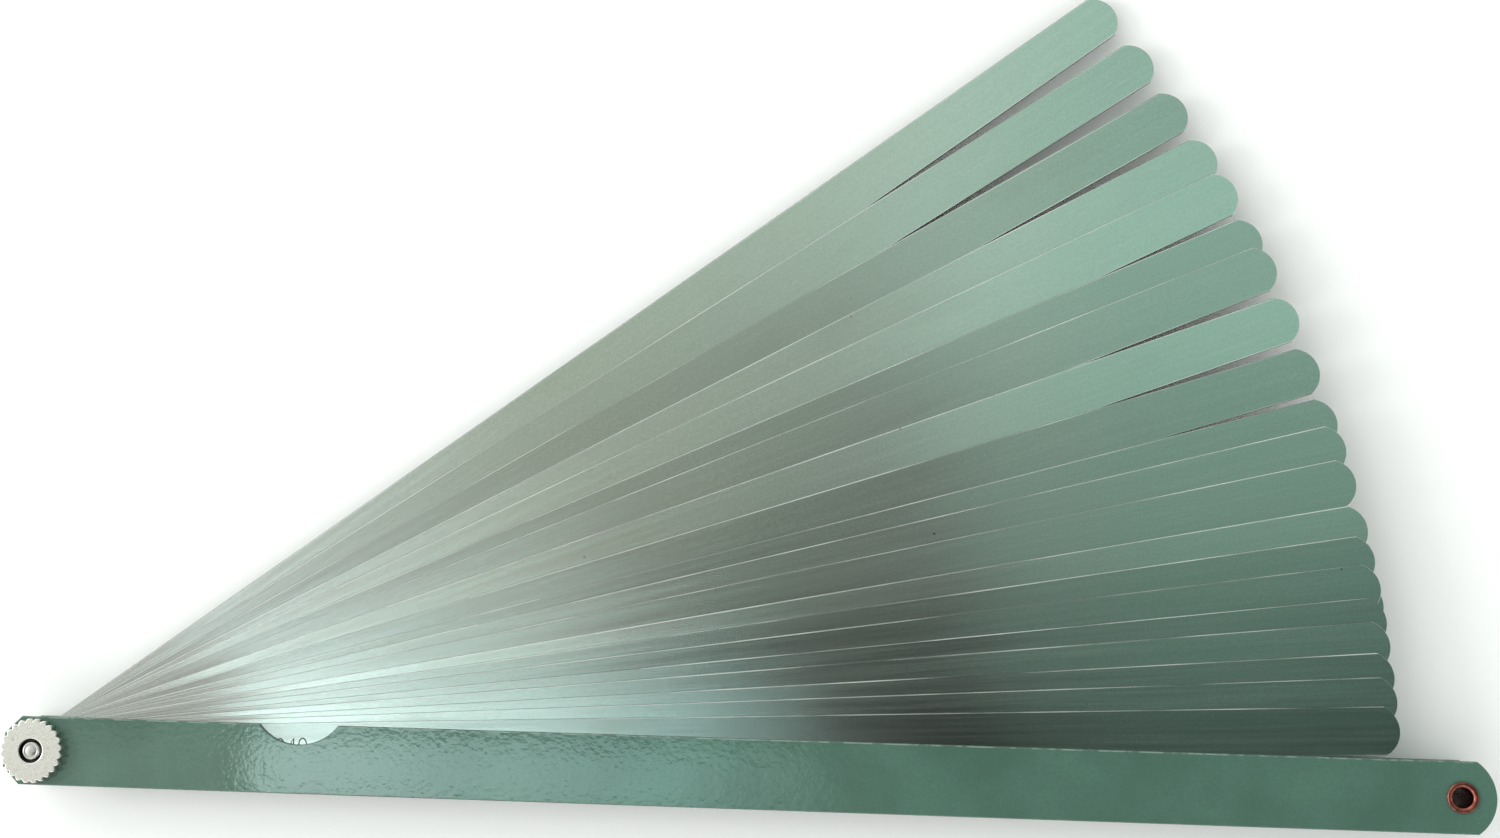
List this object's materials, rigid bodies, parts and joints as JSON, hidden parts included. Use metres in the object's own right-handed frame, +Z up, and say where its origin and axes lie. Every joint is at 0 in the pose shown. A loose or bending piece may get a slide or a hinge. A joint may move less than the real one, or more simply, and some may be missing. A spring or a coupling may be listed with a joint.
{
  "type": "feeler gauge",
  "caption": "Long feeler gauge: a fan of thin calibrated steel leaves on one clamping screw with a knurled nut, folding into a two-plate painted case with a hanging eyelet.",
  "frame": {"origin": "pivot axis at the flat underside of the pivot screw head", "axes": "+X along the case from the pivot to the eyelet, +Y the way the leaves open, +Z up the pivot axis to the knurled nut"},
  "size_m": [0.3204, 0.1838, 0.0182],
  "materials": {
    "case_paint": "grey-green gloss enamel with a fine orange-peel surface",
    "leaf_steel": "spring steel, satin ground along its length",
    "nickel": "bright nickel plate",
    "copper": "rolled copper, slightly dulled",
    "plain_steel": "turned steel"
  },
  "bodies": {
    "case": {"back_plate": "case_paint", "front_plate": "case_paint", "end_sleeve": "plain_steel", "end_eyelet": "copper", "pivot_screw": "plain_steel"},
    "nut": {"knurled_nut": "nickel"},
    "leaf_1_00": {"leaf_1_00": "leaf_steel"},
    "leaf_0_95": {"leaf_0_95": "leaf_steel"},
    "leaf_0_90": {"leaf_0_90": "leaf_steel"},
    "leaf_0_85": {"leaf_0_85": "leaf_steel"},
    "leaf_0_80": {"leaf_0_80": "leaf_steel"},
    "leaf_0_75": {"leaf_0_75": "leaf_steel"},
    "leaf_0_70": {"leaf_0_70": "leaf_steel"},
    "leaf_0_65": {"leaf_0_65": "leaf_steel"},
    "leaf_0_60": {"leaf_0_60": "leaf_steel"},
    "leaf_0_55": {"leaf_0_55": "leaf_steel"},
    "leaf_0_50": {"leaf_0_50": "leaf_steel"},
    "leaf_0_45": {"leaf_0_45": "leaf_steel"},
    "leaf_0_40": {"leaf_0_40": "leaf_steel"},
    "leaf_0_35": {"leaf_0_35": "leaf_steel"},
    "leaf_0_05_spare": {"leaf_0_05_spare": "leaf_steel"},
    "leaf_0_30": {"leaf_0_30": "leaf_steel"},
    "leaf_0_05": {"leaf_0_05": "leaf_steel"},
    "leaf_0_25": {"leaf_0_25": "leaf_steel"},
    "leaf_0_20": {"leaf_0_20": "leaf_steel"},
    "leaf_0_15": {"leaf_0_15": "leaf_steel"},
    "leaf_0_10": {"leaf_0_10": "leaf_steel"}
  },
  "joints": [
    {"name": "nut_turn", "type": "hinge", "parent": "case", "child": "nut", "pos_m": [0, 0, 0.0168], "axis": [0, 0, 1], "range_deg": [-90, 720]},
    {"name": "leaf_1_00_swing", "type": "hinge", "parent": "case", "child": "leaf_1_00", "pos_m": [0, 0, 0.0085], "axis": [0, 0, 1], "range_deg": [-36.2, 143.8]},
    {"name": "leaf_0_95_swing", "type": "hinge", "parent": "case", "child": "leaf_0_95", "pos_m": [0, 0, 0.0085], "axis": [0, 0, 1], "range_deg": [-33.5, 146.5]},
    {"name": "leaf_0_90_swing", "type": "hinge", "parent": "case", "child": "leaf_0_90", "pos_m": [0, 0, 0.0085], "axis": [0, 0, 1], "range_deg": [-30.8, 149.2]},
    {"name": "leaf_0_85_swing", "type": "hinge", "parent": "case", "child": "leaf_0_85", "pos_m": [0, 0, 0.0085], "axis": [0, 0, 1], "range_deg": [-28.3, 151.7]},
    {"name": "leaf_0_80_swing", "type": "hinge", "parent": "case", "child": "leaf_0_80", "pos_m": [0, 0, 0.0085], "axis": [0, 0, 1], "range_deg": [-26.5, 153.5]},
    {"name": "leaf_0_75_swing", "type": "hinge", "parent": "case", "child": "leaf_0_75", "pos_m": [0, 0, 0.0085], "axis": [0, 0, 1], "range_deg": [-24.2, 155.8]},
    {"name": "leaf_0_70_swing", "type": "hinge", "parent": "case", "child": "leaf_0_70", "pos_m": [0, 0, 0.0085], "axis": [0, 0, 1], "range_deg": [-22.8, 157.2]},
    {"name": "leaf_0_65_swing", "type": "hinge", "parent": "case", "child": "leaf_0_65", "pos_m": [0, 0, 0.0085], "axis": [0, 0, 1], "range_deg": [-20.4, 159.6]},
    {"name": "leaf_0_60_swing", "type": "hinge", "parent": "case", "child": "leaf_0_60", "pos_m": [0, 0, 0.0085], "axis": [0, 0, 1], "range_deg": [-18, 162]},
    {"name": "leaf_0_55_swing", "type": "hinge", "parent": "case", "child": "leaf_0_55", "pos_m": [0, 0, 0.0085], "axis": [0, 0, 1], "range_deg": [-15.7, 164.3]},
    {"name": "leaf_0_50_swing", "type": "hinge", "parent": "case", "child": "leaf_0_50", "pos_m": [0, 0, 0.0085], "axis": [0, 0, 1], "range_deg": [-14.5, 165.5]},
    {"name": "leaf_0_45_swing", "type": "hinge", "parent": "case", "child": "leaf_0_45", "pos_m": [0, 0, 0.0085], "axis": [0, 0, 1], "range_deg": [-13, 167]},
    {"name": "leaf_0_40_swing", "type": "hinge", "parent": "case", "child": "leaf_0_40", "pos_m": [0, 0, 0.0085], "axis": [0, 0, 1], "range_deg": [-11, 169]},
    {"name": "leaf_0_35_swing", "type": "hinge", "parent": "case", "child": "leaf_0_35", "pos_m": [0, 0, 0.0085], "axis": [0, 0, 1], "range_deg": [-9.7, 170.3]},
    {"name": "leaf_0_05_spare_swing", "type": "hinge", "parent": "case", "child": "leaf_0_05_spare", "pos_m": [0, 0, 0.0085], "axis": [0, 0, 1], "range_deg": [-7.8, 172.2]},
    {"name": "leaf_0_30_swing", "type": "hinge", "parent": "case", "child": "leaf_0_30", "pos_m": [0, 0, 0.0085], "axis": [0, 0, 1], "range_deg": [-8.5, 171.5]},
    {"name": "leaf_0_05_swing", "type": "hinge", "parent": "case", "child": "leaf_0_05", "pos_m": [0, 0, 0.0085], "axis": [0, 0, 1], "range_deg": [-7.1, 172.9]},
    {"name": "leaf_0_25_swing", "type": "hinge", "parent": "case", "child": "leaf_0_25", "pos_m": [0, 0, 0.0085], "axis": [0, 0, 1], "range_deg": [-6.1, 173.9]},
    {"name": "leaf_0_20_swing", "type": "hinge", "parent": "case", "child": "leaf_0_20", "pos_m": [0, 0, 0.0085], "axis": [0, 0, 1], "range_deg": [-4.8, 175.2]},
    {"name": "leaf_0_15_swing", "type": "hinge", "parent": "case", "child": "leaf_0_15", "pos_m": [0, 0, 0.0085], "axis": [0, 0, 1], "range_deg": [-3.8, 176.2]},
    {"name": "leaf_0_10_swing", "type": "hinge", "parent": "case", "child": "leaf_0_10", "pos_m": [0, 0, 0.0085], "axis": [0, 0, 1], "range_deg": [-2.6, 177.4]}
  ]
}
